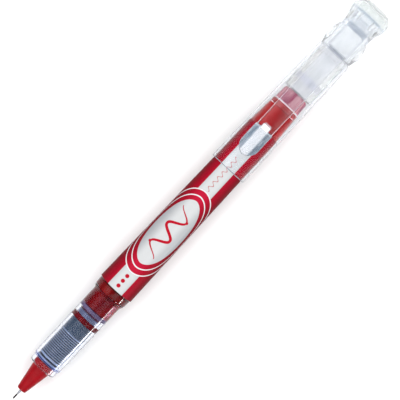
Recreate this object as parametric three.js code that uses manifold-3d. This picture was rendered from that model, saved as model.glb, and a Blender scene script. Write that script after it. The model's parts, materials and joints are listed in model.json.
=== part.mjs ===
// A liquid-ink pen with a fine porous needle point, and its clear cap posted on the tail.
// Millimetres, +Z up. The pen lies along X with the needle at low X, and the cap's clip faces up.
// Lengths along the pen are stations: distances from the tip of the needle, towards the cap.
import * as THREE from 'three';
import { mergeVertices } from 'three/addons/utils/BufferGeometryUtils.js';
import Module from 'manifold-3d';

const wasm = await Module();
wasm.setup();

// The whole object
const overallLength = 150.4;
const axisHeight = 6.0;
const bodySides = 24;
const capSides = 16;
const smallSides = 12;

// Clearances
const fit = 0.1;
const gap = 0.3;

// Needle and cone
const pointRadius = 0.25;
const pointBareLength = 1.7;
const wickRadius = 0.14;
const sleeveStart = 1.9;
const sleeveEnd = 9.0;
const sleeveRadius = 0.32;
const sleeveBore = 0.22;
const coneStart = 3.4;
const coneEnd = 11.8;
const coneTipRadius = 1.45;
const coneEndRadius = 2.9;
const coneShankEnd = 14.2;
const coneShankRadius = 3.2;

// Front section
const noseStart = 12.05;
const noseLipEnd = 12.35;
const noseRadius = 4.3;
const noseBack = 14.45;
const sectionRadius = 4.68;
const sectionBore = 3.85;
const shoulderStart = 39.2;
const sectionEnd = 40.2;
const shoulderRadius = 5.3;

// Ink feed, from the front to the tank
const rodRadius = 0.8;
const rodStart = 9.6;
const rodEnd = 36.0;
const feedRadius = sectionBore - fit;
const collectorStart = 14.5;
const collectorEnd = 25.1;
const flangeEnd = 15.15;
const wideSlotEnd = 15.7;
const finStart = 16.3;
const finPitch = 0.62;
const finCount = 14;
const slotWidth = 0.38;
const collectorCore = 2.5;
const bufferEnd = 29.4;
const redRingEnd = 31.0;
const coreFlangeEnd = 32.5;
const sealEnd = 34.2;
const feedGap = 0.1;

// Barrel, label and ink
const barrelStart = 40.5;
const barrelFrontRadius = 5.35;
const spigotStart = 34.4;
const spigotStep = 37.4;
const spigotFrontRadius = 3.85;
const spigotRadius = 4.0;
const spigotBore = 3.5;
const sectionTailBore = spigotRadius + fit;
const labelStart = 42.9;
const labelEnd = 103.8;
const labelFrontRadius = 5.65;
const labelRimRadius = 5.1;
const labelEndRadius = 5.05;
const labelFilm = 0.15;
const barrelEnd = 112.9;
const barrelRearRadius = 4.9;
const barrelEndRadius = 4.4;
const tankFrontBore = 4.4;
const tankRimBore = 4.0;
const tankEndBore = 3.5;

// Tail plug
const plugSpigotStart = 111.4;
const plugStart = 113.1;
const plugEnd = 117.5;
const plugRadius = 4.2;

// Cap
const capRim = 89.0;
const capRimRadius = 5.82;
const capRearRadius = 5.5;
const capMouthBore = 5.42;
const capBoreTaperStart = 111.8;
const capBoreTaperEnd = 118.2;
const capLinerBore = 5.0;
const capTubeEnd = 133.5;
const capFloor = 132.9;
const neckRadius = 4.85;
const neckEnd = 142.3;
const capSpigotRadius = 4.2;
const capSpigotEnd = 146.5;
const capSpigotBore = 3.4;
const notchDepth = 2.6;
const notchWidth = 2.0;
const notchCount = 4;

// Inner cap and its seal
const linerStart = 117.9;
const linerEnd = 132.6;
const linerRadius = 4.75;
const linerBore = 4.25;
const linerFloor = 131.2;
const sealRingStart = 121.0;
const sealRingEnd = 123.0;
const sealRingBore = 3.0;

// Clip
const collarStart = 133.8;
const collarEnd = 140.6;
const collarRadius = 5.4;
const earReach = 5.97;
const earRadius = 2.6;
const earWidth = 5.4;
const rootHalfWidth = 3.0;
const rootBase = 4.6;
const rootBackTop = 7.2;
const clipTop = 9.1;
const armTop = 8.9;
const armThickness = 1.3;
const armHalfWidth = 2.75;
const padStart = 94.7;
const padEnd = 103.7;
const padHalfWidth = 3.0;
const padUnderside = 6.15;
const padRibEnd = 105.4;
const padRibHalfWidth = 1.05;
const padRibUnderside = 6.9;

// Crown
const crownStart = 142.6;
const crownBulgeStart = 146.8;
const crownBulgeEnd = 148.1;
const crownRadius = 6.0;
const crownFaceRadius = 4.2;
const crownHollowEnd = 149.2;
const crownHollowRadius = 3.6;

const plastic = (name, color, roughness) =>
  new THREE.MeshStandardMaterial({ name, color, roughness, metalness: 0 });

const materials = {
  clear: plastic('clear_plastic', '#e9edf3', 0.08),
  liner: plastic('liner_plastic', '#dfe4ee', 0.15),
  red: plastic('red_plastic', '#a81418', 0.35),
  redRing: plastic('red_ring_plastic', '#8c1420', 0.3),
  collector: plastic('collector_plastic', '#7888a0', 0.35),
  buffer: plastic('buffer_plastic', '#5f6f78', 0.5),
  seal: plastic('seal_rubber', '#7c7090', 0.6),
  softSeal: plastic('soft_seal_rubber', '#c8c4dc', 0.6),
  fibre: plastic('dark_fibre', '#2a2226', 0.7),
  wick: plastic('wick_fibre', '#8a2030', 0.85),
  ink: plastic('red_ink', '#7a0c10', 0.1),
  label: plastic('label_film', '#a8142a', 0.3),
  plug: plastic('plug_plastic', '#b04868', 0.25),
  steel: new THREE.MeshStandardMaterial({
    name: 'needle_steel',
    color: '#c4c6ca',
    roughness: 0.25,
    metalness: 1,
  }),
};

// A solid of revolution about the pen's axis. The profile lists [station, radius] pairs, and each
// flat side touches the true round, so that no corner of a bore reaches what turns inside it.
function turned(profile, sides) {
  const cornerScale = 1 / Math.cos(Math.PI / sides);
  const points = profile.map(([station, radius]) => new THREE.Vector2(radius * cornerScale, station));
  const geometry = new THREE.LatheGeometry(points, sides, Math.PI / sides);
  geometry.rotateZ(-Math.PI / 2);
  return geometry;
}

// A ring or tube: the outside from front to back, then the bore from back to front.
function tube(outside, bore, sides) {
  return turned([...outside, ...bore, outside[0]], sides);
}

function manifoldFrom(geometry) {
  const bare = geometry.clone();
  bare.deleteAttribute('normal');
  bare.deleteAttribute('uv');
  const merged = mergeVertices(bare, 1e-4);
  const vertProperties = Float32Array.from(merged.attributes.position.array);
  const triVerts = Uint32Array.from(merged.index.array);
  return new wasm.Manifold(new wasm.Mesh({ numProp: 3, vertProperties, triVerts }));
}

function geometryFrom(solid) {
  const { vertProperties, triVerts } = solid.getMesh();
  const geometry = new THREE.BufferGeometry();
  geometry.setAttribute('position', new THREE.BufferAttribute(vertProperties, 3));
  geometry.setIndex(new THREE.BufferAttribute(triVerts, 1));
  geometry.computeVertexNormals();
  return geometry;
}

function block(size, centre) {
  return new THREE.BoxGeometry(...size).translate(...centre);
}

function extruded(shape, depth, curveSegments) {
  return new THREE.ExtrudeGeometry(shape, { depth, curveSegments, bevelEnabled: false });
}

// An outline of stations and heights, made as wide as twice halfWidth across the pen.
function seenFromTheSide(shape, halfWidth) {
  return extruded(shape, 2 * halfWidth, 6).rotateX(Math.PI / 2).translate(0, halfWidth, 0);
}

const pen = new THREE.Group();
pen.position.set(-overallLength / 2, 0, axisHeight);

function addPiece(name, geometry, material) {
  const mesh = new THREE.Mesh(geometry, material);
  mesh.name = name;
  pen.add(mesh);
}

// The fibre point: a bare tip, then a wick that runs back through the needle.
function writingPoint() {
  return turned([
    [0, 0],
    [0.06, pointRadius * 0.6],
    [0.2, pointRadius],
    [pointBareLength, pointRadius],
    [pointBareLength, wickRadius],
    [rodStart - feedGap, wickRadius],
    [rodStart - feedGap, 0],
  ], smallSides);
}

function needleSleeve() {
  return tube(
    [[sleeveStart, sleeveRadius], [sleeveEnd, sleeveRadius]],
    [[sleeveEnd, sleeveBore], [sleeveStart, sleeveBore]],
    smallSides,
  );
}

function tipCone() {
  const needleBore = sleeveRadius + 0.05;
  const rodBore = rodRadius + fit;
  const stepStation = sleeveEnd + fit;
  const shankStart = noseLipEnd + fit;
  return tube(
    [
      [coneStart, coneTipRadius - 0.25],
      [coneStart + 0.2, coneTipRadius],
      [coneEnd, coneEndRadius],
      [shankStart, coneEndRadius],
      [shankStart, coneShankRadius],
      [coneShankEnd, coneShankRadius],
    ],
    [[coneShankEnd, rodBore], [stepStation, rodBore], [stepStation, needleBore], [coneStart, needleBore]],
    bodySides,
  );
}

function feedRod() {
  return turned([[rodStart, 0], [rodStart, rodRadius], [rodEnd, rodRadius], [rodEnd, 0]], smallSides);
}

// A front flange, a wide slot, a band, and then a row of thin fins.
function inkCollector() {
  const outside = [
    [collectorStart, feedRadius],
    [flangeEnd, feedRadius],
    [flangeEnd, collectorCore],
    [wideSlotEnd, collectorCore],
    [wideSlotEnd, feedRadius],
  ];
  for (let fin = 0; fin < finCount; fin += 1) {
    const slotStart = finStart + fin * finPitch;
    const slotEnd = slotStart + slotWidth;
    outside.push([slotStart, feedRadius], [slotStart, collectorCore]);
    outside.push([slotEnd, collectorCore], [slotEnd, feedRadius]);
  }
  outside.push([collectorEnd, feedRadius]);
  const rodBore = rodRadius + fit;
  return tube(outside, [[collectorEnd, rodBore], [collectorStart, rodBore]], bodySides);
}

function feedRing(start, end) {
  const rodBore = rodRadius + fit;
  return tube([[start, feedRadius], [end, feedRadius]], [[end, rodBore], [start, rodBore]], bodySides);
}

// The clear grip: a nose with a lip that holds the cone's shank in, a long bore for the feed, and a
// flared tail that takes the barrel's spigot.
function frontSection() {
  const noseBore = coneShankRadius + fit;
  const lipBore = coneEndRadius + fit;
  const shankEnd = coneShankEnd + fit;
  const tailBoreStart = sealEnd + fit;
  return tube(
    [
      [noseStart, noseRadius - 0.3],
      [noseStart + 0.3, noseRadius],
      [noseBack - 0.2, noseRadius + 0.1],
      [noseBack, sectionRadius - 0.05],
      [noseBack + 0.3, sectionRadius],
      [shoulderStart, sectionRadius],
      [sectionEnd, shoulderRadius],
    ],
    [
      [sectionEnd, sectionTailBore],
      [tailBoreStart, sectionTailBore],
      [tailBoreStart, sectionBore],
      [shankEnd, sectionBore],
      [shankEnd, noseBore],
      [noseLipEnd, noseBore],
      [noseLipEnd, lipBore],
      [noseStart, lipBore],
    ],
    bodySides,
  );
}

// The clear tank tube. The printed stretch is drawn in by the film's thickness.
function barrel() {
  const underFilm = labelFilm + fit;
  return tube(
    [
      [spigotStart, spigotFrontRadius],
      [spigotStep, spigotFrontRadius],
      [spigotStep + 0.2, spigotRadius],
      [barrelStart, spigotRadius],
      [barrelStart, barrelFrontRadius],
      [labelStart - fit, barrelFrontRadius + 0.05],
      [labelStart - fit, labelFrontRadius - underFilm],
      [capRim, labelRimRadius - underFilm],
      [labelEnd + fit, labelEndRadius - underFilm],
      [labelEnd + fit, barrelRearRadius],
      [barrelEnd, barrelEndRadius],
    ],
    [
      [barrelEnd, tankEndBore],
      [labelEnd, tankRimBore - 0.1],
      [capRim, tankRimBore],
      [labelStart + 3, tankFrontBore],
      [labelStart, spigotBore],
      [spigotStart, spigotBore],
    ],
    bodySides,
  );
}

function labelSleeve() {
  return tube(
    [[labelStart, labelFrontRadius], [capRim, labelRimRadius], [labelEnd, labelEndRadius]],
    [
      [labelEnd, labelEndRadius - labelFilm],
      [capRim, labelRimRadius - labelFilm],
      [labelStart, labelFrontRadius - labelFilm],
    ],
    bodySides,
  );
}

// The ink fills the spigot and the tank, up to the plug.
function ink() {
  const inkStart = spigotStart + fit;
  const inkEnd = plugSpigotStart - fit;
  const endShare = (inkEnd - labelEnd) / (barrelEnd - labelEnd);
  const endBore = THREE.MathUtils.lerp(tankRimBore - 0.1, tankEndBore, endShare);
  const rodBore = rodRadius + fit;
  return turned([
    [rodEnd + fit, 0],
    [rodEnd + fit, rodBore],
    [inkStart, rodBore],
    [inkStart, spigotBore - fit],
    [labelStart, spigotBore - fit],
    [labelStart + 3, tankFrontBore - fit],
    [capRim, tankRimBore - fit],
    [labelEnd, tankRimBore - 0.1 - fit],
    [inkEnd, endBore - fit],
    [inkEnd, 0],
  ], bodySides);
}

function tailPlug() {
  const spigot = tankEndBore - fit;
  return turned([
    [plugSpigotStart, 0],
    [plugSpigotStart, spigot],
    [plugStart, spigot],
    [plugStart, plugRadius],
    [plugEnd - 1.2, plugRadius - 0.1],
    [plugEnd - 0.4, plugRadius - 0.6],
    [plugEnd, plugRadius - 1.5],
    [plugEnd, 0],
  ], bodySides);
}

// The clear tube of the cap, with a neck for the clip's collar and a notched spigot for the crown.
function capShell() {
  const shell = manifoldFrom(tube(
    [
      [capRim, capRimRadius - 0.15],
      [capRim + 0.2, capRimRadius],
      [capTubeEnd - 0.9, capRearRadius],
      [capTubeEnd, neckRadius],
      [neckEnd, neckRadius],
      [neckEnd, capSpigotRadius],
      [capSpigotEnd, capSpigotRadius],
    ],
    [
      [capSpigotEnd, capSpigotBore],
      [capFloor, capSpigotBore],
      [capFloor, capLinerBore],
      [capBoreTaperEnd, capLinerBore],
      [capBoreTaperStart, capMouthBore - 0.12],
      [capRim, capMouthBore],
    ],
    capSides,
  ));
  let notched = shell;
  for (let notch = 0; notch < notchCount; notch += 1) {
    const cutter = block([2 * notchDepth, 3, notchWidth], [capSpigotEnd, capSpigotRadius, 0]);
    cutter.rotateX(Math.PI / 4 + (notch * 2 * Math.PI) / notchCount);
    notched = notched.subtract(manifoldFrom(cutter));
  }
  return geometryFrom(notched);
}

function innerCap() {
  return turned([
    [linerFloor, 0],
    [linerFloor, linerBore],
    [linerStart, linerBore],
    [linerStart, linerRadius],
    [linerEnd, linerRadius],
    [linerEnd, 0],
  ], capSides);
}

function capSealRing() {
  const ringRadius = linerBore - fit;
  return tube(
    [[sealRingStart, ringRadius], [sealRingEnd, ringRadius]],
    [[sealRingEnd, sealRingBore], [sealRingStart, sealRingBore]],
    capSides,
  );
}

// The clip's fixed end: a collar round the cap's neck, an ear on each side and the arm's root.
function clipCollar() {
  const collarLength = collarEnd - collarStart;
  const collarMiddle = (collarStart + collarEnd) / 2;
  const band = manifoldFrom(tube(
    [[collarStart, collarRadius], [collarEnd, collarRadius]],
    [[collarEnd, neckRadius - 1], [collarStart, neckRadius - 1]],
    capSides,
  ));
  const earX = collarLength / 2 - earRadius;
  const earY = earReach - earRadius;
  const earShape = new THREE.Shape();
  earShape.absarc(-earX, earY, earRadius, Math.PI, Math.PI / 2, true);
  earShape.absarc(earX, earY, earRadius, Math.PI / 2, 0, true);
  earShape.absarc(earX, -earY, earRadius, 0, -Math.PI / 2, true);
  earShape.absarc(-earX, -earY, earRadius, -Math.PI / 2, -Math.PI, true);
  const ears = extruded(earShape, earWidth, 4).translate(collarMiddle, 0, -earWidth / 2);
  const rootSide = new THREE.Shape();
  rootSide.moveTo(collarStart, rootBase);
  rootSide.lineTo(collarEnd, rootBase);
  rootSide.lineTo(collarEnd, rootBackTop);
  rootSide.quadraticCurveTo(collarEnd - 1, armTop, collarMiddle, armTop);
  rootSide.lineTo(collarStart, armTop);
  const root = seenFromTheSide(rootSide, rootHalfWidth);
  const bore = turned([
    [collarStart - 1, 0],
    [collarStart - 1, neckRadius + fit],
    [collarEnd + 1, neckRadius + fit],
    [collarEnd + 1, 0],
  ], capSides);
  return geometryFrom(band.add(manifoldFrom(ears)).add(manifoldFrom(root)).subtract(manifoldFrom(bore)));
}

// The springy arm: its outline from the side, cut by its outline from above, and the short rib
// behind the pad.
function clipArm() {
  const armEnd = collarStart - gap;
  const armUnderside = armTop - armThickness;
  const side = new THREE.Shape();
  side.moveTo(padStart, padUnderside + 1.2);
  side.quadraticCurveTo(padStart + 0.3, clipTop - 0.2, padStart + 3, clipTop);
  side.lineTo(padRibEnd, clipTop);
  side.lineTo(padRibEnd + 0.3, armTop);
  side.lineTo(armEnd, armTop);
  side.lineTo(armEnd, armUnderside - 0.2);
  side.lineTo(padEnd, armUnderside);
  side.lineTo(padEnd, padUnderside + 0.2);
  side.quadraticCurveTo(padEnd - 0.1, padUnderside, padEnd - 1, padUnderside);
  side.lineTo(padStart + 3, padUnderside);
  side.quadraticCurveTo(padStart + 0.6, padUnderside, padStart, padUnderside + 1.2);
  const sideSolid = seenFromTheSide(side, padHalfWidth + 1);

  const plan = new THREE.Shape();
  plan.moveTo(armEnd, rootHalfWidth);
  plan.lineTo(padEnd + 2, armHalfWidth);
  plan.lineTo(padEnd, padHalfWidth);
  plan.lineTo(padStart + 3, padHalfWidth);
  plan.bezierCurveTo(padStart + 1.2, padHalfWidth, padStart, padHalfWidth / 2, padStart, 0);
  plan.bezierCurveTo(padStart, -padHalfWidth / 2, padStart + 1.2, -padHalfWidth, padStart + 3, -padHalfWidth);
  plan.lineTo(padEnd, -padHalfWidth);
  plan.lineTo(padEnd + 2, -armHalfWidth);
  plan.lineTo(armEnd, -rootHalfWidth);
  const planSolid = extruded(plan, clipTop, 6).translate(0, 0, 1);

  const ribLength = padRibEnd - padEnd + gap;
  const ribHeight = armUnderside - padRibUnderside + gap;
  const rib = block(
    [ribLength, 2 * padRibHalfWidth, ribHeight],
    [padRibEnd - ribLength / 2, 0, padRibUnderside + ribHeight / 2],
  );
  return geometryFrom(manifoldFrom(sideSolid).intersect(manifoldFrom(planSolid)).add(manifoldFrom(rib)));
}

// The flared end of the cap: a socket for the spigot, a hollow bulge and a flat end face.
function capCrown() {
  const socket = capSpigotRadius + fit;
  return turned([
    [crownHollowEnd, 0],
    [crownHollowEnd, crownHollowRadius],
    [crownHollowEnd - 0.5, socket],
    [crownStart, socket],
    [crownStart, neckRadius],
    [crownStart + 1.4, neckRadius + 0.3],
    [crownBulgeStart - 1.2, crownRadius - 0.2],
    [crownBulgeStart, crownRadius],
    [crownBulgeEnd, crownRadius],
    [overallLength - 1.3, crownRadius - 0.35],
    [overallLength - 0.4, crownFaceRadius + 0.8],
    [overallLength, crownFaceRadius],
    [overallLength, 0],
  ], capSides);
}

addPiece('writing_point', writingPoint(), materials.fibre);
addPiece('needle_sleeve', needleSleeve(), materials.steel);
addPiece('tip_cone', tipCone(), materials.red);
addPiece('feed_rod', feedRod(), materials.wick);
addPiece('ink_collector', inkCollector(), materials.collector);
addPiece('buffer_sleeve', feedRing(collectorEnd + feedGap, bufferEnd), materials.buffer);
addPiece('retaining_ring', feedRing(bufferEnd + feedGap, redRingEnd), materials.redRing);
addPiece('core_flange', feedRing(redRingEnd + feedGap, coreFlangeEnd), materials.collector);
addPiece('ink_seal', feedRing(coreFlangeEnd + feedGap, sealEnd), materials.seal);
addPiece('front_section', frontSection(), materials.clear);
addPiece('barrel', barrel(), materials.clear);
addPiece('ink', ink(), materials.ink);
addPiece('label_sleeve', labelSleeve(), materials.label);
addPiece('tail_plug', tailPlug(), materials.plug);
addPiece('cap_shell', capShell(), materials.clear);
addPiece('inner_cap', innerCap(), materials.liner);
addPiece('cap_seal_ring', capSealRing(), materials.softSeal);
addPiece('clip_collar', clipCollar(), materials.clear);
addPiece('clip_arm', clipArm(), materials.clear);
addPiece('cap_crown', capCrown(), materials.clear);

const object = new THREE.Group();
object.add(pen);
export default object;
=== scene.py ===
import json
import math

import bmesh
import bpy
from mathutils import Matrix, Vector


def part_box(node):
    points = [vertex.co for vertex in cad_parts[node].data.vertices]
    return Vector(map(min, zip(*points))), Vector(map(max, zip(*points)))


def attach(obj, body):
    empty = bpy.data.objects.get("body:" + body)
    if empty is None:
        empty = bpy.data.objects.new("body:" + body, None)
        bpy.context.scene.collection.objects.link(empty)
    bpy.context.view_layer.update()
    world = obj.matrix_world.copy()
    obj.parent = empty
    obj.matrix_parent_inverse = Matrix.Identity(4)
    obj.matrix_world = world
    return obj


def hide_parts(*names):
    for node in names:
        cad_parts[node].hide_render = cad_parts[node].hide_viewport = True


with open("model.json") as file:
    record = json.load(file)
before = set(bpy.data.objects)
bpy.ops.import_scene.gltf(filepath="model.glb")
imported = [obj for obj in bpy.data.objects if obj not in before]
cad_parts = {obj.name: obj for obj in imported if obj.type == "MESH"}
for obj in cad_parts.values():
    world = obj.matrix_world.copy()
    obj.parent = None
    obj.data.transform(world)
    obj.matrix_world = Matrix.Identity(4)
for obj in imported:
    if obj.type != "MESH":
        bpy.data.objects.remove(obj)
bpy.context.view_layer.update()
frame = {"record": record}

MM = 0.001
SIDES = 128
THIN_SIDES = 48
NEEDLE_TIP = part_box("writing_point")[0][0]
AXIS_HEIGHT = (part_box("cap_shell")[0][2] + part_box("cap_shell")[1][2]) / 2

BODIES = frame["record"]["behaviour"]["bodies"]
BODY_OF = {node: body for body, nodes in BODIES.items() for node in nodes}

# Sizes that more than one piece or material shares.
FIT = 0.1
LABEL_RIM_RADIUS = 5.1
LABEL_END_RADIUS = 5.05
PLUG_FLANGE = 4.4

# The barrel's bore: distances from its front end, and radii.
BARREL_BORE = ((0, 3.5), (8.5, 3.5), (11.5, 4.4), (54.6, 4.0), (69.4, 3.9), (78.5, 3.5))


def span(node):
    """The station where a node starts, the station where it ends, and its radius."""
    low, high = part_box(node)
    return (low[0] - NEEDLE_TIP) / MM, (high[0] - NEEDLE_TIP) / MM, (high[1] - low[1]) / 2 / MM


def place(station, across=0.0, up=0.0):
    """A point from its station and its distances from the pen's axis, in metres."""
    return Vector((NEEDLE_TIP + station * MM, across * MM, AXIS_HEIGHT + up * MM))


# ---------------------------------------------------------------- shapes


def rounded(corners, closed, steps=4):
    """An outline with each corner (a, b, rounding) turned into a short curve."""
    points = []
    count = len(corners)
    for index, corner in enumerate(corners):
        here = Vector(corner[:2])
        rounding = corner[2] if len(corner) > 2 else 0
        if not rounding or (not closed and index in (0, count - 1)):
            points.append(here)
            continue
        before = Vector(corners[index - 1][:2]) - here
        after = Vector(corners[(index + 1) % count][:2]) - here
        reach = min(rounding, 0.45 * before.length, 0.45 * after.length)
        start = here + before.normalized() * reach
        end = here + after.normalized() * reach
        for step in range(steps + 1):
            t = step / steps
            points.append(start * (1 - t) ** 2 + here * 2 * t * (1 - t) + end * t**2)
    return points


def skinned(rings, closed):
    """A mesh through rings of equally many vertices. A ring of one vertex is a pole."""
    shape = bmesh.new()
    made = [[shape.verts.new(point) for point in ring] for ring in rings]
    pairs = list(zip(made, made[1:]))
    if closed:
        pairs.append((made[-1], made[0]))
    for first, second in pairs:
        for index in range(max(len(first), len(second))):
            ahead = index + 1
            corners = [
                first[index % len(first)],
                first[ahead % len(first)],
                second[ahead % len(second)],
                second[index % len(second)],
            ]
            shape.faces.new(list(dict.fromkeys(corners)))
    return shape


def capped(shape, ring):
    """Closes an open end of a skinned shape with one flat face."""
    shape.verts.ensure_lookup_table()
    shape.faces.new([shape.verts[index] for index in ring])


def circle(station, radii, turns):
    """A ring of points about the pen's axis. Turns are measured from the top."""
    return [place(station, r * math.sin(turn), r * math.cos(turn)) for r, turn in zip(radii, turns)]


def revolved(corners, closed=True, sides=SIDES):
    """A solid of revolution about the pen's axis from corners (station, radius, rounding)."""
    turns = [2 * math.pi * index / sides for index in range(sides)]
    rings = []
    for station, radius in rounded(corners, closed):
        on_axis = radius < 1e-6
        rings.append([place(station)] if on_axis else circle(station, [radius] * sides, turns))
    return skinned(rings, closed)


def smoothed(mesh):
    """Smooth shading that keeps the sharp edges."""
    mesh.shade_smooth()
    mesh.set_sharp_from_angle(angle=math.radians(32))


def mesh_object(name, shape):
    """An object of a bmesh, in the scene, with its faces turned outwards."""
    bmesh.ops.recalc_face_normals(shape, faces=shape.faces)
    mesh = bpy.data.meshes.new(name)
    shape.to_mesh(mesh)
    shape.free()
    smoothed(mesh)
    piece = bpy.data.objects.new(name, mesh)
    bpy.context.scene.collection.objects.link(piece)
    return piece


def combined(piece, others, operation):
    """Cuts or joins closed pieces into the first one."""
    for other in others:
        modifier = piece.modifiers.new("join", "BOOLEAN")
        modifier.operation = operation
        modifier.solver = "EXACT"
        modifier.object = other
    graph = bpy.context.evaluated_depsgraph_get()
    mesh = bpy.data.meshes.new_from_object(piece.evaluated_get(graph))
    piece.modifiers.clear()
    piece.data = mesh
    for other in others:
        bpy.data.objects.remove(other)
    smoothed(mesh)
    return piece


def rounded_block(name, low, high, rounding):
    """A block with rounded edges between two (station, across, up) corners."""
    shape = bmesh.new()
    bmesh.ops.create_cube(shape, size=1.0)
    low, high = place(*low), place(*high)
    size = high - low
    for vertex in shape.verts:
        vertex.co = Vector([low[i] + (vertex.co[i] + 0.5) * size[i] for i in range(3)])
    edges = shape.edges[:]
    bmesh.ops.bevel(shape, geom=edges, offset=rounding * MM, segments=3, profile=0.5, affect="EDGES")
    return mesh_object(name, shape)


def finished(piece, node, material):
    """Hands a piece its finish and its node's body, and hides the node's imported part."""
    piece.data.materials.clear()
    piece.data.materials.append(material)
    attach(piece, BODY_OF[node])
    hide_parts(node)


def turned_piece(name, node, corners, material, closed=True, sides=SIDES):
    """A finished piece that is round about the pen's axis. An open outline starts and ends on it."""
    finished(mesh_object(name, revolved(corners, closed, sides)), node, material)


# ---------------------------------------------------------------- material tools


def colour(code):
    """A linear colour from an sRGB code such as "a8142a"."""
    channels = [int(code[index:index + 2], 16) / 255 for index in (0, 2, 4)]
    linear = [c / 12.92 if c <= 0.04045 else ((c + 0.055) / 1.055) ** 2.4 for c in channels]
    return (*linear, 1.0)


class Shader:
    """A material's node tree, with short ways to add to it."""

    def __init__(self, name):
        self.material = bpy.data.materials.new(name)
        self.material.use_nodes = True
        self.tree = self.material.node_tree
        self.tree.nodes.clear()
        self.output = self.tree.nodes.new("ShaderNodeOutputMaterial")

    def feed(self, socket, value):
        if isinstance(value, bpy.types.NodeSocket):
            self.tree.links.new(value, socket)
        else:
            socket.default_value = value

    def node(self, kind, inputs=None, **settings):
        node = self.tree.nodes.new("ShaderNode" + kind)
        for key, value in settings.items():
            setattr(node, key, value)
        for key, value in (inputs or {}).items():
            self.feed(node.inputs[key], value)
        return node

    def math(self, operation, first, second=0.0):
        return self.node("Math", {0: first, 1: second}, operation=operation).outputs[0]

    def times(self, first, second):
        return self.math("MULTIPLY", first, second)

    def either(self, first, second):
        return self.math("MAXIMUM", first, second)

    def size(self, value):
        return self.math("ABSOLUTE", value)

    def apart(self, first, second):
        return self.size(self.math("SUBTRACT", first, second))

    def hypotenuse(self, first, second):
        squares = self.math("ADD", self.math("POWER", first, 2.0), self.math("POWER", second, 2.0))
        return self.math("SQRT", squares)

    def ramp(self, value, low, high, start=0.0, end=1.0):
        """Goes smoothly from start to end while value goes from low to high."""
        inputs = {"Value": value, "From Min": low, "From Max": high, "To Min": start, "To Max": end}
        return self.node("MapRange", inputs, interpolation_type="SMOOTHSTEP").outputs[0]

    def below(self, value, edge, soft):
        """1 below an edge and 0 above it, with a soft change between them."""
        return self.ramp(value, edge - soft / 2, edge + soft / 2, 1.0, 0.0)

    def above(self, value, edge, soft):
        """0 below an edge and 1 above it, with a soft change between them."""
        return self.ramp(value, edge - soft / 2, edge + soft / 2)

    def within(self, value, low, high, soft):
        return self.times(self.below(value, high, soft), self.above(value, low, soft))

    def mix(self, factor, first, second):
        node = self.node("Mix", data_type="RGBA")
        for index, value in ((0, factor), (6, first), (7, second)):
            self.feed(node.inputs[index], value)
        return node.outputs[2]

    def position(self):
        return self.node("TexCoord").outputs["Object"]

    def pen_axes(self):
        """Sockets for the station and the radius in millimetres, and the turn about the axis."""
        parts = self.node("SeparateXYZ", {0: self.position()}).outputs
        station = self.times(self.math("SUBTRACT", parts[0], NEEDLE_TIP), 1 / MM)
        up = self.math("SUBTRACT", parts[2], AXIS_HEIGHT)
        turn = self.math("ARCTAN2", parts[1], up)
        radius = self.times(self.hypotenuse(parts[1], up), 1 / MM)
        return station, radius, turn

    def noise(self, per_mm, detail=2.0, stretch=None):
        vector = self.position()
        if stretch:
            vector = self.node("Mapping", {"Vector": vector, "Scale": stretch}).outputs[0]
        inputs = {"Vector": vector, "Scale": per_mm / MM, "Detail": detail}
        return self.node("TexNoise", inputs).outputs[0]

    def bump(self, height, distance_mm):
        return self.node("Bump", {"Height": height, "Distance": distance_mm * MM}).outputs[0]

    def principled(self, **inputs):
        node = self.node("BsdfPrincipled")
        for key, value in inputs.items():
            self.feed(node.inputs[key.replace("_", " ").title().replace("Ior", "IOR")], value)
        return node.outputs[0]

    def shown(self, surface):
        self.tree.links.new(surface, self.output.inputs["Surface"])
        return self.material


# ---------------------------------------------------------------- opaque materials


def solid_plastic(name, code, roughness, shine=0.25, band=None):
    """Moulded plastic: a slow change of tone, a fine grain and slightly uneven gloss. band is
    another colour that it has between two stations."""
    shader = Shader(name)
    base = colour(code)
    deep = (*[channel * 0.82 for channel in base[:3]], 1.0)
    tone = shader.ramp(shader.noise(0.35, 3.0), 0.3, 0.7)
    shade = shader.mix(tone, deep, base)
    if band:
        band_code, start, end = band
        in_band = shader.within(shader.pen_axes()[0], start, end, 0.1)
        shade = shader.mix(in_band, shade, colour(band_code))
    surface = shader.principled(
        base_color=shade,
        roughness=shader.ramp(shader.noise(6.0, 4.0), 0.3, 0.7, roughness * 0.8, roughness * 1.25),
        specular_ior_level=shine,
        normal=shader.bump(shader.noise(9.0, 4.0), 0.006),
    )
    return shader.shown(surface)


def seal_rubber():
    """Grey-violet rubber. Ink darkens the front of the seal."""
    start = span("ink_seal")[0]
    inked = ("451430", start - 1.0, start + 0.5)
    return solid_plastic("seal_rubber", "6a5f80", 0.5, shine=0.05, band=inked)


def slot_shaded(name, node, depth, code, dark_code, slot_shade_code):
    """Plastic with painted shade down in its slots or grooves."""
    shader = Shader(name)
    rim = span(node)[2]
    # Painted shade: below the rim the colour turns dark, where shade falls in the slots.
    slot_shade = shader.below(shader.pen_axes()[1], rim - depth, depth)
    body = shader.mix(shader.ramp(shader.noise(0.6, 3.0), 0.3, 0.7), colour(dark_code), colour(code))
    surface = shader.principled(
        base_color=shader.mix(slot_shade, body, colour(slot_shade_code)),
        roughness=shader.ramp(shader.noise(5.0, 3.0), 0.3, 0.7, 0.25, 0.4),
        specular_ior_level=0.2,
        normal=shader.bump(shader.noise(8.0, 3.0), 0.004),
    )
    return shader.shown(surface)


def collector_plastic():
    # The last colour is the painted shade in the collector's slots.
    return slot_shaded("collector_plastic", "ink_collector", 0.1, "94a2bc", "8494b2", "060f2e")


def buffer_plastic():
    # The last colour is the painted shade in the buffer's grooves.
    return slot_shaded("buffer_plastic", "buffer_sleeve", 0.04, "4c5c6e", "404e62", "202a3c")


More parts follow.
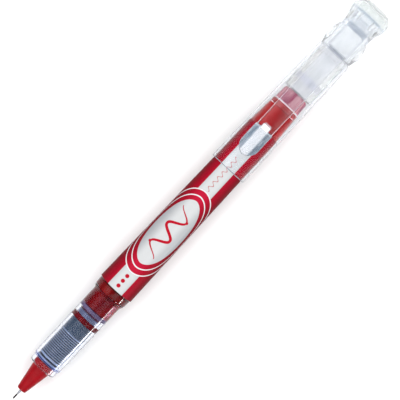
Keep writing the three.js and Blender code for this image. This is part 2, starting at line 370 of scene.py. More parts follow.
def needle_steel():
    """Drawn steel tube with lengthwise draw lines."""
    shader = Shader("needle_steel")
    lines = shader.noise(6.0, 4.0, stretch=(0.05, 1.0, 1.0))
    surface = shader.principled(
        base_color=shader.mix(shader.ramp(lines, 0.3, 0.7), colour("74767c"), colour("9a9ca2")),
        metallic=1.0,
        roughness=shader.ramp(lines, 0.3, 0.7, 0.18, 0.32),
        normal=shader.bump(lines, 0.004),
    )
    return shader.shown(surface)


def fibre(name, code, dark_code):
    """Bonded fibre: fine strands along the pen."""
    shader = Shader(name)
    strands = shader.noise(12.0, 4.0, stretch=(0.06, 1.0, 1.0))
    surface = shader.principled(
        base_color=shader.mix(shader.ramp(strands, 0.35, 0.65), colour(dark_code), colour(code)),
        roughness=shader.ramp(strands, 0.3, 0.7, 0.6, 0.8),
        normal=shader.bump(strands, 0.02),
    )
    return shader.shown(surface)


def ink_liquid():
    """Deep red ink with faint clouds along the pen."""
    shader = Shader("ink_liquid")
    clouds = shader.ramp(shader.noise(0.3, 4.0, stretch=(0.4, 1.0, 1.0)), 0.35, 0.7)
    surface = shader.principled(
        base_color=shader.mix(clouds, colour("b01216"), colour("c8181c")),
        roughness=shader.ramp(shader.noise(1.0, 2.0), 0.3, 0.7, 0.3, 0.4),
        specular_ior_level=0.0,
    )
    return shader.shown(surface)


def pale_floor():
    """A matt floor with a hardly visible change of tone."""
    shader = Shader("pale_floor")
    darker, lighter = [(grey, grey, grey, 1.0) for grey in (0.96, 0.98)]
    surface = shader.principled(
        base_color=shader.mix(shader.noise(0.002, 2.0), darker, lighter),
        roughness=0.8,
        specular_ior_level=0.1,
    )
    return shader.shown(surface)


# ---------------------------------------------------------------- clear materials


def clear_plastic(name, tint, rim="9aa8c0", bands=(), clear=1.0, ior=1.5, shine=0.35, detail=None):
    """Clear moulded plastic with a faint flow waviness and fine handling marks. rim is the colour the wall
    turns towards its outline as seen from the camera: a little of it is the longer path through the wall,
    and the rest is painted shade. bands are colours that the ink behind the wall, or a thicker wall, gives
    it between two stations each. detail is a function that changes the colour and the clearness further."""
    shader = Shader(name)
    clouds = shader.ramp(shader.noise(0.45, 3.0, stretch=(0.6, 1.0, 1.0)), 0.35, 0.65)
    lighter = (*[0.3 + 0.7 * channel for channel in colour(tint)[:3]], 1.0)
    shade = shader.mix(clouds, colour(tint), lighter)
    # Painted shade at the outline: where the wall is seen edge-on it turns to the rim colour. A little of
    # this is the longer path through the wall.
    outline_shade = shader.node("LayerWeight", {"Blend": 0.5}).outputs["Facing"]
    shade = shader.mix(shader.ramp(outline_shade, 0.6, 1.0, 0.0, 0.8), shade, colour(rim))
    for code, start, end in bands:
        shade = shader.mix(shader.within(shader.pen_axes()[0], start, end, 0.1), shade, colour(code))
    if detail:
        shade, clear = detail(shader, shade, clear)
    glass = shader.principled(
        base_color=shade,
        roughness=shader.ramp(shader.noise(4.0, 5.0), 0.55, 0.75, 0.12, 0.17),
        ior=ior,
        specular_tint=(shine, shine, shine, 1),
        transmission_weight=clear,
        normal=shader.bump(shader.noise(0.12, 1.0, stretch=(0.35, 1.0, 1.0)), 0.005),
    )
    through = shader.node("BsdfTransparent", {"Color": colour("fdfdfe")}).outputs[0]
    lamp_ray = shader.node("LightPath").outputs["Is Shadow Ray"]
    surface = shader.node("MixShader", {0: lamp_ray, 1: glass, 2: through}).outputs[0]
    return shader.shown(surface)


def section_plastic():
    """The shoulder of the section is bluish. Ink behind its tail tints it."""
    shoulder = span("ink_collector")[0]
    seal_end = span("ink_seal")[1]
    end = span("front_section")[1]
    bands = [
        ("a0a8d4", shoulder - 0.5, shoulder + 0.3),
        ("b06890", seal_end, end - 1.0),
        ("a05c82", end - 1.0, end + 1.0),
    ]
    return clear_plastic("clear_section_plastic", "e8ebf3", bands=bands, shine=0.2)


def barrel_plastic():
    """Ink tints the tank's front. The groove before the label has a nearly black painted shadow."""
    start = span("front_section")[1]
    label = span("label_sleeve")[0]
    # The second band is a painted shadow in the groove before the label.
    bands = [("8a3454", start, label - 0.45), ("300408", label - 0.45, label - 0.05)]
    return clear_plastic("clear_barrel_plastic", "f0f1f5", "a8708c", bands)


def frosted_rim(shader, shade, clear):
    """A milky edge round the cap's mouth."""
    rim = span("cap_shell")[0]
    milky = shader.within(shader.pen_axes()[0], rim - 1.0, rim + 0.22, 0.1)
    shade = shader.mix(milky, shade, colour("b0b6c0"))
    return shade, shader.ramp(milky, 0.0, 1.0, clear, 0.55)


def cap_plastic():
    """A clear tube with a greyer neck and spigot, and a frosted rim."""
    neck_band = ("dfe3e8", span("clip_collar")[1] - 0.2, span("cap_shell")[1])
    return clear_plastic("clear_cap_plastic", "f4f6f8", "8c9ab2", [neck_band], ior=1.3, detail=frosted_rim)


def thick_plastic():
    """The collar and the crown. The crown is darker round the spigot's end."""
    spigot_end = span("cap_shell")[1]
    crown_end = span("cap_crown")[1]
    bands = [
        ("b6c0cc", spigot_end - 0.2, spigot_end + 0.4),
        ("e4e7e6", spigot_end + 0.4, crown_end + 1.0),
    ]
    return clear_plastic("clear_thick_plastic", "eef0f1", "7f8ea6", bands, clear=0.85, ior=1.3)


def liner_plastic():
    """Slightly milky, and a little darker where the seal ring sits."""
    ring_start, ring_end, _ = span("cap_seal_ring")
    ring_band = ("e2e2e4", ring_start, ring_end)
    return clear_plastic("liner_plastic", "e8e8e6", bands=[ring_band], clear=0.72, ior=1.35)


def pad_painted_light(shader, shade, clear):
    """The pad's flanks carry a blue-grey painted shade with paler streaks of painted highlight. The ridge
    and the tab behind the pad are made milky so that they show white, a painted highlight."""
    ridge = 1.1
    flank_edge = 2.8
    pad_end = span("label_sleeve")[1] - 0.3
    tab_end = pad_end + 1.7
    station = shader.pen_axes()[0]
    aside = shader.size(shader.node("SeparateXYZ", {0: shader.position()}).outputs[1])
    flank_shade = shader.ramp(aside, ridge * MM, (ridge + 0.4) * MM)
    flank_shade = shader.times(flank_shade, shader.below(aside, flank_edge * MM, 0.2 * MM))
    flank_shade = shader.times(flank_shade, shader.below(station, pad_end, 0.1))
    # Painted shade and highlight: the flanks turn blue-grey, with paler streaks along the pen.
    streaks = shader.ramp(shader.noise(1.3, 2.0, stretch=(0.25, 1.0, 1.0)), 0.42, 0.62)
    shade = shader.mix(flank_shade, shade, shader.mix(streaks, colour("a4b2c0"), colour("dbe1e8")))
    # The ridge and the tab are made milky so that they show white, standing in for the reflection on them.
    middle = shader.times(shader.below(aside, ridge * MM, 0.2 * MM), shader.below(station, tab_end, 0.1))
    highlight_milkiness = shader.ramp(station, pad_end, pad_end + 0.2, 0.2, 0.8)
    return shade, shader.math("SUBTRACT", clear, shader.times(middle, highlight_milkiness))


def clip_plastic():
    return clear_plastic("clip_plastic", "edeff3", ior=1.38, detail=pad_painted_light)


def plug_plastic():
    """Translucent pink plastic with soft streaks along the pen, and a painted highlight round the flange's
    edge. The spigot shows the red of the ink."""
    shader = Shader("plug_plastic")
    streaks = shader.ramp(shader.noise(1.0, 2.0, stretch=(0.08, 1.0, 1.0)), 0.4, 0.6)
    shade = shader.mix(streaks, colour("b04468"), colour("e8aeb4"))
    flange = span("tail_plug")[1] - PLUG_FLANGE
    station = shader.pen_axes()[0]
    shade = shader.mix(shader.below(station, flange - 0.05, 0.1), shade, colour("a81216"))
    # Painted highlight: a pale band round the flange's front edge.
    shade = shader.mix(shader.within(station, flange - 0.1, flange + 0.25, 0.1), shade, colour("f4eef0"))
    surface = shader.principled(
        base_color=shade,
        roughness=shader.ramp(shader.noise(3.0, 3.0), 0.3, 0.7, 0.1, 0.2),
        ior=1.5,
        transmission_weight=shader.ramp(station, flange - 0.05, flange + 0.3, 0.0, 0.55),
        subsurface_weight=0.3,
        subsurface_radius=(0.003, 0.001, 0.001),
    )
    return shader.shown(surface)


# ---------------------------------------------------------------- label print

PRINT_EDGE = 0.12


def label_ovals(shader, along, around, turn):
    """Where the film is silver, and where it is white: a stripe along the pen that an oval field
    interrupts, an oval inside it, and two thin rings between them."""
    field, middle_ring, inner = (15.4, 98.0), (13.4, 79.0), (11.6, 59.6)
    ring_width = 0.36
    stripe_half_width = 2.56

    def oval(half_length, half_angle):
        """Reaches half_length on an oval that goes half_angle degrees round the pen each way."""
        across = shader.math("DIVIDE", shader.size(turn), math.radians(half_angle))
        lengthwise = shader.math("DIVIDE", shader.size(along), half_length)
        sideways_power = 1.8
        powers = shader.math(
            "ADD",
            shader.math("POWER", across, sideways_power),
            shader.math("POWER", lengthwise, 2.0),
        )
        return shader.times(shader.math("SQRT", powers), half_length)

    def ring(half_length, half_angle):
        reach = oval(half_length, half_angle)
        return shader.within(reach, half_length - ring_width, half_length, PRINT_EDGE)

    white = shader.either(ring(*middle_ring), ring(*field))
    stripe = shader.below(shader.size(around), stripe_half_width, PRINT_EDGE)
    stripe = shader.times(stripe, shader.above(oval(*field), field[0], PRINT_EDGE))
    silver = shader.either(stripe, shader.below(oval(*inner), inner[0], PRINT_EDGE))
    return silver, white


def wavy_stroke(shader, along, around):
    """A wave that is as wide on its slopes as on its crests, and thins towards both ends."""
    rate, height = 0.92, 2.1
    half_length = 8.4
    phase = shader.times(along, rate)
    wave = shader.times(shader.math("SINE", phase), height)
    slope = shader.times(shader.math("COSINE", phase), rate * height)
    away = shader.math("DIVIDE", shader.apart(around, wave), shader.hypotenuse(slope, 1.0))
    half_width = shader.ramp(shader.size(along), 2.0, half_length + 0.2, 0.42, 0.12)
    stroke = shader.below(shader.math("SUBTRACT", away, half_width), 0.0, PRINT_EDGE)
    return shader.times(stroke, shader.below(shader.size(along), half_length, PRINT_EDGE))


def dots(shader, along, around, offset, spacing, reach, dot_radius, height):
    """Dots in a row with a spacing, within a reach of a point along the label."""
    beside = shader.math("SUBTRACT", along, offset)
    row = shader.math("PINGPONG", beside, spacing / 2)
    away = shader.hypotenuse(row, shader.math("SUBTRACT", around, height))
    marks = shader.below(away, dot_radius, PRINT_EDGE)
    return shader.times(marks, shader.below(shader.size(beside), reach, PRINT_EDGE))


def fine_ripple(shader, along, around):
    """A thin ripple at the back of the stripe."""
    middle, half_length = 22.0, 6.2
    rate, height, half_width = 3.4, 0.5, 0.16
    back = shader.math("SUBTRACT", along, middle)
    wave = shader.times(shader.math("SINE", shader.times(back, rate)), height)
    line = shader.below(shader.apart(around, wave), half_width, PRINT_EDGE)
    return shader.times(line, shader.below(shader.size(back), half_length, PRINT_EDGE))


def label_print():
    """Crimson film with a silver stripe, a silver oval in two thin rings, and plain marks. The crimson has
    a painted light along its top, and both inks have painted shade towards the sides."""
    shader = Shader("label_print")
    station, _, turn = shader.pen_axes()
    start, _, front_radius = span("label_sleeve")
    oval_middle = start + 22.0
    oval_radius = front_radius * 0.96
    along = shader.math("SUBTRACT", station, oval_middle)
    around = shader.times(turn, oval_radius)
    aside = shader.size(turn)

    def shade_towards_side(low, high, start=0.0, end=1.0):
        return shader.ramp(aside, math.radians(low), math.radians(high), start, end)

    silver, white = label_ovals(shader, along, around, turn)

    # Three dots in front of the oval, and a dot on the wave's first and last crest, which it
    # thickens: each row's place along the label, spacing, reach, dot radius and height.
    marks = wavy_stroke(shader, along, around)
    for dot_row in (
        (-18.6, 1.8, 2.6, 0.58, 0.0),
        (-5.2, 20.0, 2.0, 0.42, 2.3),
        (5.2, 20.0, 2.0, 0.42, -2.3),
    ):
        marks = shader.either(marks, dots(shader, along, around, *dot_row))

    speckle = shader.ramp(shader.noise(2.5, 3.0), 0.3, 0.7)
    crimson = shader.mix(speckle, colour("960f22"), colour("a2132a"))
    # Painted light: the crimson is lighter along the top of the label.
    crimson = shader.mix(shade_towards_side(5, 38), colour("b31a36"), crimson)
    # Painted shade: the crimson darkens towards the sides.
    crimson = shader.mix(shade_towards_side(25, 78, 0.0, 0.85), crimson, colour("5c0812"))
    hatch_rate = 16.0
    hatch = shader.math("SINE", shader.times(shader.math("ADD", station, around), hatch_rate))
    silver_ink = shader.mix(shader.ramp(hatch, -1.0, 1.0), colour("bcbec0"), colour("cfd0d0"))
    # Painted shade: the silver darkens towards the sides.
    silver_ink = shader.mix(shade_towards_side(8, 58), silver_ink, colour("a0a2a5"))

    print_colour = shader.mix(silver, crimson, silver_ink)
    print_colour = shader.mix(white, print_colour, colour("dadddf"))
    ripple = shader.times(fine_ripple(shader, along, around), 0.7)
    print_colour = shader.mix(ripple, print_colour, colour("b02a30"))
    print_colour = shader.mix(marks, print_colour, colour("ac1428"))
    surface = shader.principled(
        base_color=print_colour,
        metallic=shader.times(silver, 0.08),
        roughness=shader.ramp(shader.noise(9.0, 2.0), 0.3, 0.7, 0.34, 0.46),
        specular_ior_level=0.02,
        normal=shader.bump(shader.either(shader.noise(1.2, 4.0), white), 0.004),
    )
    return shader.shown(surface)


# ---------------------------------------------------------------- pieces


def rod_bore():
    """The radius of the hole that the feed rod goes through."""
    return span("feed_rod")[2] + FIT


def writing_point(material):
    """A domed fibre point that thins to a wick where it enters the needle's tube."""
    start, end, radius = span("writing_point")
    bare_end = span("needle_sleeve")[0] - 0.2
    wick = radius * 0.56
    corners = [
        (start, 0),
        (start, radius * 0.45, 0.08),
        (start + 0.25, radius * 0.95, 0.1),
        (bare_end, radius, 0.03),
        (bare_end, wick),
        (end, wick),
        (end, 0),
    ]
    turned_piece("writing_point_fibre", "writing_point", corners, material, False, THIN_SIDES)


def needle_sleeve(material):
    start, end, radius = span("needle_sleeve")
    bore = radius - 0.1
    corners = [
        (start, radius - 0.06, 0.02),
        (start + 0.35, radius, 0.1),
        (end, radius, 0.03),
        (end, bore),
        (start, bore, 0.02),
    ]
    turned_piece("needle_tube", "needle_sleeve", corners, material, sides=THIN_SIDES)


def tip_cone(material):
    """A cone whose shank is held behind the lip of the clear nose."""
    start, end, radius = span("tip_cone")
    nose = span("front_section")[0]
    _, needle_end, needle_radius = span("needle_sleeve")
    cone = radius - 0.3
    shank_start = nose + 0.4
    hole = needle_radius + 0.05
    corners = [
        (start, hole),
        (start, cone / 2 - 0.02, 0.3),
        (nose - 0.25, cone, 0.1),
        (shank_start, cone),
        (shank_start, radius, 0.1),
        (end, radius, 0.15),
        (end, rod_bore(), 0.05),
        (needle_end + FIT, rod_bore()),
        (needle_end + FIT, hole),
    ]
    turned_piece("tip_cone_moulding", "tip_cone", corners, material)


def feed_rod(material):
    start, end, radius = span("feed_rod")
    corners = [(start, 0), (start, radius, 0.15), (end, radius, 0.15), (end, 0)]
    turned_piece("feed_rod_fibre", "feed_rod", corners, material, False, 64)


def ink_collector(material):
    """A front flange and a wide slot, and then a row of thin fins."""
    start, end, radius = span("ink_collector")
    core = radius - 1.2
    flange_end = start + 0.65
    wide_slot_end = flange_end + 0.55
    fins_start = start + 1.8
    fin_count = 14
    slot_share = 0.64
    pitch = (end - fins_start) / (fin_count + 0.2)
    edge = 0.03
    corners = [
        (start, rod_bore(), 0.05),
        (start, radius, 0.12),
        (flange_end, radius, 0.08),
        (flange_end, core),
        (wide_slot_end, core),
        (wide_slot_end, radius, 0.08),
    ]
    for fin in range(fin_count):
        slot_start = fins_start + fin * pitch
        slot_end = slot_start + pitch * slot_share
        corners += [
            (slot_start, radius, edge),
            (slot_start, core),
            (slot_end, core),
            (slot_end, radius, edge),
        ]
    corners += [(end, radius, edge), (end, rod_bore(), 0.05)]
    turned_piece("collector_fins", "ink_collector", corners, material)


def buffer_sleeve(material):
    """A block with fine grooves, each with sloping sides and a flat floor."""
    start, end, radius = span("buffer_sleeve")
    groove_count = 15
    front_land = 0.3
    pitch = (end - start - 0.4) / groove_count
    depth = 0.07
    corners = [(start, rod_bore(), 0.05), (start, radius, 0.1)]
    for groove in range(groove_count):
        groove_start = start + front_land + groove * pitch
        for share, dip in ((0, 0), (0.15, depth), (0.35, depth), (0.5, 0)):
            corners.append((groove_start + pitch * share, radius - dip, 0.02))
    corners += [(end, radius, 0.1), (end, rod_bore(), 0.05)]
    turned_piece("buffer_grooves", "buffer_sleeve", corners, material)


def feed_ring(name, node, profile, material):
    """A ring of the ink feed, from (share of its length, growth of its radius, rounding) corners."""
    start, end, radius = span(node)
    corners = [(start, rod_bore(), 0.05)]
    for share, growth, rounding in profile:
        corners.append((start + share * (end - start), radius + growth, rounding))
    corners.append((end, rod_bore(), 0.05))
    turned_piece(name, node, corners, material)


def retaining_ring(material):
    """It presses on the section's bore."""
    press = 0.15
    profile = [(0, press, 0.1), (1, press, 0.1)]
    feed_ring("red_retaining_ring", "retaining_ring", profile, material)


def core_flange(material):
    feed_ring("hub_flange", "core_flange", [(0, 0, 0.1), (1, 0, 0.1)], material)


def ink_seal(material):
    """Its back two thirds press on the section's bore."""
    press = 0.15
    profile = [(0, 0, 0.1), (0.3, 0, 0.05), (0.34, press, 0.05), (1, press, 0.1)]
    feed_ring("tank_seal", "ink_seal", profile, material)


def front_section(material):
    """The clear grip: a narrower nose with a lip, a straight tube and a flared tail."""
    start, end, radius = span("front_section")
    _, shank_end, shank_radius = span("tip_cone")
    bore = span("ink_collector")[2] + FIT
    nose_bore = shank_radius + FIT
    lip_bore = shank_radius - 0.2
    lip_end = start + 0.3
    nose_end = start + 2.2
    tube = 4.68
    tail_bore = 4.1
    seal_end = span("ink_seal")[1] + FIT
    corners = [
        (start, lip_bore, 0.08),
        (start, 4.25, 0.35),
        (nose_end, 4.4, 0.1),
        (nose_end + 0.2, tube - 0.04, 0.2),
        (end - 1.0, tube, 0.5),
        (end, radius, 0.08),
        (end, tail_bore, 0.05),
        (seal_end, tail_bore, 0.05),
        (seal_end, bore, 0.05),
        (shank_end + FIT, bore, 0.3),
        (shank_end + FIT, nose_bore, 0.05),
        (lip_end, nose_bore, 0.05),
        (lip_end, lip_bore, 0.05),
    ]
    turned_piece("grip_section", "front_section", corners, material)


def barrel(material):
    """The tank tube. Its spigot is pressed into the section, so it touches the section's bore. A
    groove parts its bare front from the stretch under the label."""
    start, end, radius = span("barrel")
    label_start, label_end, label_radius = span("label_sleeve")
    under_film = 0.25
    spigot = 4.13
    front = label_start - 2.4
    groove_start = label_start - 0.35
    groove = radius - 0.35
    rim = span("cap_shell")[0]
    corners = [
        (start, spigot, 0.1),
        (front, spigot, 0.05),
        (front, radius - 0.06, 0.12),
        (groove_start, radius, 0.05),
        (groove_start, groove, 0.03),
        (label_start, groove, 0.03),
        (label_start, label_radius - under_film, 0.05),
        (rim, LABEL_RIM_RADIUS - under_film),
        (label_end + 0.1, LABEL_END_RADIUS - under_film, 0.05),
        (label_end + 0.1, 4.9, 0.1),
        (end, 4.4, 0.2),
    ]
    corners += [(start + offset, bore, 0.1) for offset, bore in reversed(BARREL_BORE)]
    turned_piece("barrel_tube", "barrel", corners, material)


def ink(material):
    """The ink wets the barrel's bore, so it reaches just into the wall."""
    start, end, _ = span("ink")
    barrel_start = span("barrel")[0]
    rod_pocket = span("feed_rod")[1] + FIT
    wet = 0.03
    end_radius = 3.6
    corners = [
        (rod_pocket, 0),
        (rod_pocket, rod_bore(), 0.1),
        (start, rod_bore(), 0.05),
        (start, BARREL_BORE[0][1] + wet, 0.05),
    ]
    corners += [(barrel_start + offset, bore + wet, 0.1) for offset, bore in BARREL_BORE[1:-1]]
    corners += [(end, end_radius, 0.1), (end, 0)]
    turned_piece("ink_fill", "ink", corners, material, False)


def label_sleeve(material):
    start, end, radius = span("label_sleeve")
    rim = span("cap_shell")[0]
    film = 0.12
    corners = [
        (start, radius, 0.05),
        (rim, LABEL_RIM_RADIUS),
        (end, LABEL_END_RADIUS, 0.05),
        (end, LABEL_END_RADIUS - film, 0.03),
        (rim, LABEL_RIM_RADIUS - film),
        (start, radius - film, 0.03),
    ]
    turned_piece("label_film", "label_sleeve", corners, material)


def tail_plug(material):
    """A spigot pressed into the tank, and a flange with a well rounded end and a shallow dish."""
    start, end, radius = span("tail_plug")
    flange = end - PLUG_FLANGE
    spigot = 3.56
    dish = 0.25
    corners = [
        (start, 0),
        (start, spigot, 0.1),
        (flange, spigot, 0.03),
        (flange, radius, 0.1),
        (end, radius - 0.15, 1.3),
        (end, 2.2, 0.2),
        (end - dish, 1.9, 0.1),
        (end - dish, 0),
    ]
    turned_piece("tail_plug_moulding", "tail_plug", corners, material, False)


def cap_shell(material):
    """The cap's tube, its neck under the collar, and a notched spigot for the crown."""
    start, end, radius = span("cap_shell")
    liner_start, liner_end, _ = span("inner_cap")
    tube_end = span("clip_collar")[0] - 0.3
    neck_end = span("cap_crown")[0] - 0.3
    neck = 4.85
    spigot = 4.2
    spigot_bore = 3.4
    liner_bore = 5.0
    corners = [
        (start, radius - 0.05, 0.15),
        (start + 0.6, radius, 0.3),
        (tube_end - 0.9, 5.5, 0.4),
        (tube_end, neck, 0.1),
        (neck_end, neck, 0.05),
        (neck_end, spigot, 0.05),
        (end, spigot, 0.2),
        (end, spigot_bore, 0.15),
        (liner_end + 0.3, spigot_bore, 0.1),
        (liner_end + 0.3, liner_bore, 0.1),
        (liner_start + 0.3, liner_bore, 0.2),
        (liner_start - 6.1, 5.3, 2.0),
        (start, 5.42, 0.1),
    ]
    piece = mesh_object("cap_tube", revolved(corners))
    cutters = []
    for notch in range(4):
        cutter = rounded_block("notch", (end - 2.6, 3.0, -1.0), (end + 1.0, 5.0, 1.0), 0.3)
        axis = Matrix.Translation(place(0))
        quarter_turn = Matrix.Rotation(math.radians(45 + 90 * notch), 4, "X")
        cutter.data.transform(axis @ quarter_turn @ axis.inverted())
        cutters.append(cutter)
    finished(combined(piece, cutters, "DIFFERENCE"), "cap_shell", material)


def inner_cap(material):
    """A cup that closes on the needle. Its waist is a little thinner than its ends."""
    start, end, radius = span("inner_cap")
    floor = end - 1.4
    bore = 4.25
    waist = radius - 0.12
    waist_start = start + 5.0
    waist_end = end - 1.6
    corners = [
        (floor, 0),
        (floor, bore, 0.5),
        (start, bore, 0.15),
        (start, radius, 0.1),
        (waist_start, radius, 0.05),
        (waist_start, waist, 0.05),
        (waist_end, waist, 0.05),
        (waist_end, radius, 0.05),
        (end, radius, 0.15),
        (end, 0),
    ]
    turned_piece("liner_cup", "inner_cap", corners, material, False)


def cap_seal_ring(material):
    """A ring with a lip round its middle."""
    start, end, radius = span("cap_seal_ring")
    middle = (start + end) / 2
    half_lip = 0.15
    bore = 3.0
    corners = [
        (start, radius),
        (end, radius),
        (end, bore + 0.5),
        (middle + half_lip, bore),
        (middle - half_lip, bore),
        (start, bore + 0.5),
    ]
    corners = [(*corner, 0.15) for corner in corners]
    turned_piece("seal_lip_ring", "cap_seal_ring", corners, material)


def cap_crown(material):
    """The flared end of the cap, hollow behind its flat end face."""
    start, end, radius = span("cap_crown")
    socket = 4.3
    hollow_end = end - 1.2
    corners = [
        (hollow_end, 0),
        (hollow_end, 3.6, 0.3),
        (hollow_end - 0.5, socket, 0.3),
        (start, socket, 0.08),
        (start, 4.88, 0.15),
        (start + 1.6, 5.05, 1.2),
        (start + 4.0, radius, 1.6),
        (end - 2.0, radius, 1.0),
        (end - 0.9, radius - 0.7, 0.8),
        (end, 4.4, 0.5),
        (end, 0),
    ]
    turned_piece("crown_moulding", "cap_crown", corners, material, False)


def gate_dimple(station, across, up):
    """The small round mark that the moulding's gate leaves."""
    shape = bmesh.new()
    floor_radius, mouth_radius, depth = 0.7 * MM, 1.0 * MM, 0.5 * MM
    bmesh.ops.create_cone(
        shape, cap_ends=True, segments=48, radius1=floor_radius, radius2=mouth_radius, depth=depth
    )
    bmesh.ops.translate(shape, verts=shape.verts, vec=place(station, across, up))
    return mesh_object("dimple", shape)


def clip_collar(material):
    """A collar whose outer radius swells into two ears and rises into the arm's root."""
    node_start, end, reach = span("clip_collar")
    start = node_start - 0.6
    top = (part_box("clip_collar")[1][2] - AXIS_HEIGHT) / MM
    half_length = (end - start) / 2
    middle = (start + end) / 2
    bore = 4.95
    band = 5.4
    root_half_width = 3.0
    band_taper = 0.25
    root_drop = 1.7
    ear_arc = 6.0
    ear_spread = 0.5
    turns = 256
    steps = 40
    edge_tucks = (0.16, 0.06, 0.015)

    def ring_radius(station, turn):
        """The band, with an ear on each side that is an arc along the pen."""
        share = (station - middle) / half_length
        ear_share = math.exp(-((abs(turn) - math.pi / 2) / ear_spread) ** 4)
        ear = (reach - band) - (station - middle) ** 2 / (2 * ear_arc)
        ear = (ear + math.sqrt(ear * ear + 0.02)) / 2
        return band - band_taper * share**6 + ear_share * ear

    def outer_radius(station, turn):
        """The ring, blended over the top with a rounded block that carries the arm."""
        ring = ring_radius(station, turn)
        if math.cos(turn) <= 0:
            return ring
        share = (station - middle) / half_length
        height = top - root_drop * max(0.0, share) ** 3
        flat = height / max(1e-6, math.cos(turn))
        wall = root_half_width / max(1e-6, abs(math.sin(turn)))
        corner, blend = 14, 10
        root = (flat**-corner + wall**-corner) ** (-1 / corner)
        return (ring**blend + root**blend) ** (1 / blend) if root > band * 0.7 else ring

    angles = [2 * math.pi * index / turns - math.pi for index in range(turns)]
    rings = []
    for step in range(steps + 1):
        station = start + 2 * half_length * step / steps
        edge = min(step, steps - step)
        tuck = edge_tucks[edge] if edge < len(edge_tucks) else 0.0
        radii = [outer_radius(station, turn) - tuck for turn in angles]
        rings.append(circle(station, radii, angles))
    rings += [circle(station, [bore] * turns, angles) for station in (end, start)]
    piece = mesh_object("clip_root_collar", skinned(rings, True))
    dimple = gate_dimple(start + 4.9, -0.6, top + 0.02)
    finished(combined(piece, [dimple], "DIFFERENCE"), "clip_collar", material)


def clip_arm(material):
    """A lofted arm: a faceted pad with a bullet nose, then a flatter arm back to the root. A rib
    under the arm shows behind the pad as a tab."""
    start, end, half_width = span("clip_arm")
    low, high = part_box("clip_arm")
    pad_top = (high[2] - AXIS_HEIGHT) / MM
    pad_bottom = (low[2] - AXIS_HEIGHT) / MM
    arm_top = pad_top - 0.2
    arm_bottom = arm_top - 1.3
    pad_end = start + 9.0
    rib_end = start + 10.7
    nose = 3.4
    facet = 1.05
    step_length = 0.3

    def section(station):
        """(half width, facet half width, top, shoulder, bottom) at a station."""
        share = min(1.0, (station - start) / nose)
        bullet = (1 - (1 - share) ** 2.0) ** 0.62
        behind_pad = min(1.0, max(0.0, (station - pad_end) / step_length))
        behind_rib = min(1.0, max(0.0, (station - rib_end) / step_length))
        back = min(1.0, max(0.0, (station - rib_end) / (end - rib_end)))
        width = half_width * bullet - 0.25 * behind_pad * (1 - back)
        top = arm_top + (pad_top - arm_top) * (1 - behind_rib) - 1.1 * (1 - bullet)
        bottom = pad_bottom + (arm_bottom - pad_bottom) * behind_pad + 1.2 * (1 - bullet)
        shoulder = top - 0.85 + 0.35 * behind_rib
        ridge = min(facet + 0.75 * behind_rib, width * 0.4)
        return width, ridge, top, shoulder, bottom

    stations = [start + nose * (step / 14) ** 1.8 for step in range(15)]
    stations[0] = start + 0.002
    stations += [start + nose + step for step in range(1, 6)]
    for edge, before in ((pad_end, 0.05), (rib_end, 0.1)):
        stations += [edge + offset for offset in (-before, 0.0, 0.1, 0.2, step_length, 0.5)]
    stations += [rib_end + (end - rib_end) * step / 12 for step in range(1, 13)]
    rings = []
    for station in stations:
        width, ridge, top, shoulder, bottom = section(station)
        edge = min(0.3, width * 0.3)
        side = [
            (width * 0.8, bottom, edge),
            (width, bottom + 0.45, edge),
            (width, shoulder, edge),
            (ridge, top, edge * 0.5),
        ]
        corners = side + [(-across, up, rounding) for across, up, rounding in reversed(side)]
        rings.append([place(station, across, up) for across, up in rounded(corners, True)])
    shape = skinned(rings, False)
    count = len(rings[0])
    capped(shape, range(count))
    capped(shape, range(len(rings) * count - count, len(rings) * count))
    piece = mesh_object("clip_arm_spring", shape)
    rib_low = (pad_end - 0.3, -facet, arm_bottom - 0.7)
    rib_high = (rib_end, facet, arm_bottom + 0.3)
    rib = rounded_block("rib", rib_low, rib_high, 0.12)
    finished(combined(piece, [rib], "UNION"), "clip_arm", material)


# ---------------------------------------------------------------- studio


def camera():
    """Looks straight down from above the cap's rim, turned so that the pen lies across the frame."""
    roll = math.radians(46.96)
    distance = 422.5
    above = 89.0
    aim_station = 77.3
    aim_across = -0.34
    lens = 134.9
    target = place(aim_station, aim_across, 0)
    eye = place(above, 0, distance)
    back = (eye - target).normalized()
    up = Vector((math.sin(roll), math.cos(roll), 0))
    right = up.cross(back).normalized()
    up = back.cross(right)
    data = bpy.data.cameras.new("camera")
    data.lens = lens
    data.sensor_width = 36
    view = bpy.data.objects.new("camera", data)
    facing = Matrix((right, up, back)).transposed().to_4x4()
    view.matrix_world = Matrix.Translation(eye) @ facing
    bpy.context.scene.collection.objects.link(view)
    bpy.context.scene.camera = view


def low_strip():
    """A strip light low beside the pen's front, which gives it only a highlight."""
    station = -50.0
    distance = 0.5
    towards = Vector((0, -1, 0.09)).normalized()
    data = bpy.data.lights.new("low_strip", "AREA")
    data.shape = "RECTANGLE"
    data.size = 0.11
    data.size_y = 0.04
    data.energy = 0.85
    lamp = bpy.data.objects.new("low_strip", data)
    y_axis = towards.cross(Vector((1, 0, 0))).normalized()
    x_axis = y_axis.cross(towards)
    facing = Matrix((x_axis, y_axis, towards)).transposed().to_4x4()
    lamp.matrix_world = Matrix.Translation(place(station) + towards * distance) @ facing
    lamp.visible_diffuse = False
    bpy.context.scene.collection.objects.link(lamp)


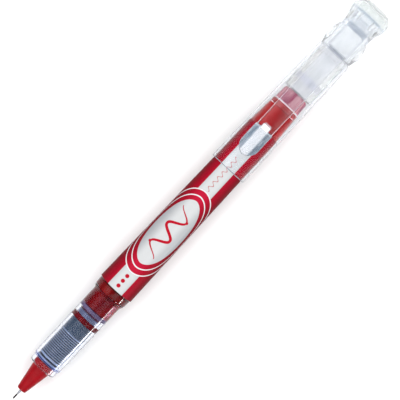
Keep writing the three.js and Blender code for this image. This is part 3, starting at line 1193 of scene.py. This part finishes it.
def soft_surround():
    """A pale surround that is brightest in a wide ring high over the pen, and dim right above."""
    world = bpy.data.worlds.new("studio")
    world.use_nodes = True
    tree = world.node_tree
    background = tree.nodes["Background"]
    direction = tree.nodes.new("ShaderNodeTexCoord")
    parts = tree.nodes.new("ShaderNodeSeparateXYZ")
    ramp = tree.nodes.new("ShaderNodeValToRGB")
    tree.links.new(direction.outputs["Generated"], parts.inputs[0])
    tree.links.new(parts.outputs["Z"], ramp.inputs["Fac"])
    tree.links.new(ramp.outputs["Color"], background.inputs["Color"])
    horizon, top = ramp.color_ramp.elements
    horizon.position = 0.0
    horizon.color = (0.17, 0.18, 0.21, 1)
    top.position = 1.0
    top.color = (0.12, 0.12, 0.125, 1)
    for height, level in ((0.5, 0.2), (0.78, 1.0), (0.94, 1.0), (0.98, 0.12)):
        ramp.color_ramp.elements.new(height).color = (level, level, level, 1)
    background.inputs["Strength"].default_value = 2.35
    bpy.context.scene.world = world


def studio_floor():
    """A wide floor just under the pen."""
    shape = bmesh.new()
    half_size = 3.0
    bmesh.ops.create_grid(shape, x_segments=8, y_segments=8, size=half_size)
    floor = mesh_object("floor", shape)
    floor.location.z = -0.0001
    floor.data.materials.append(pale_floor())


def build():
    writing_point(fibre("dark_fibre", "2a2022", "141012"))
    needle_sleeve(needle_steel())
    tip_cone(solid_plastic("cone_plastic", "98101a", 0.26, 0.07))
    feed_rod(fibre("wick_fibre", "9a3040", "701c2c"))
    ink_collector(collector_plastic())
    buffer_sleeve(buffer_plastic())
    retaining_ring(solid_plastic("red_ring_plastic", "6c0e1a", 0.4, 0.0))
    core_flange(solid_plastic("flange_plastic", "5c6280", 0.35))
    ink_seal(seal_rubber())
    front_section(section_plastic())
    barrel(barrel_plastic())
    ink(ink_liquid())
    label_sleeve(label_print())
    tail_plug(plug_plastic())
    cap_shell(cap_plastic())
    inner_cap(liner_plastic())
    cap_seal_ring(solid_plastic("soft_seal_rubber", "c6c6ce", 0.5))
    thick = thick_plastic()
    cap_crown(thick)
    clip_collar(thick)
    clip_arm(clip_plastic())


bpy.context.scene.view_settings.view_transform = "Standard"
camera()
soft_surround()
low_strip()
studio_floor()
build()
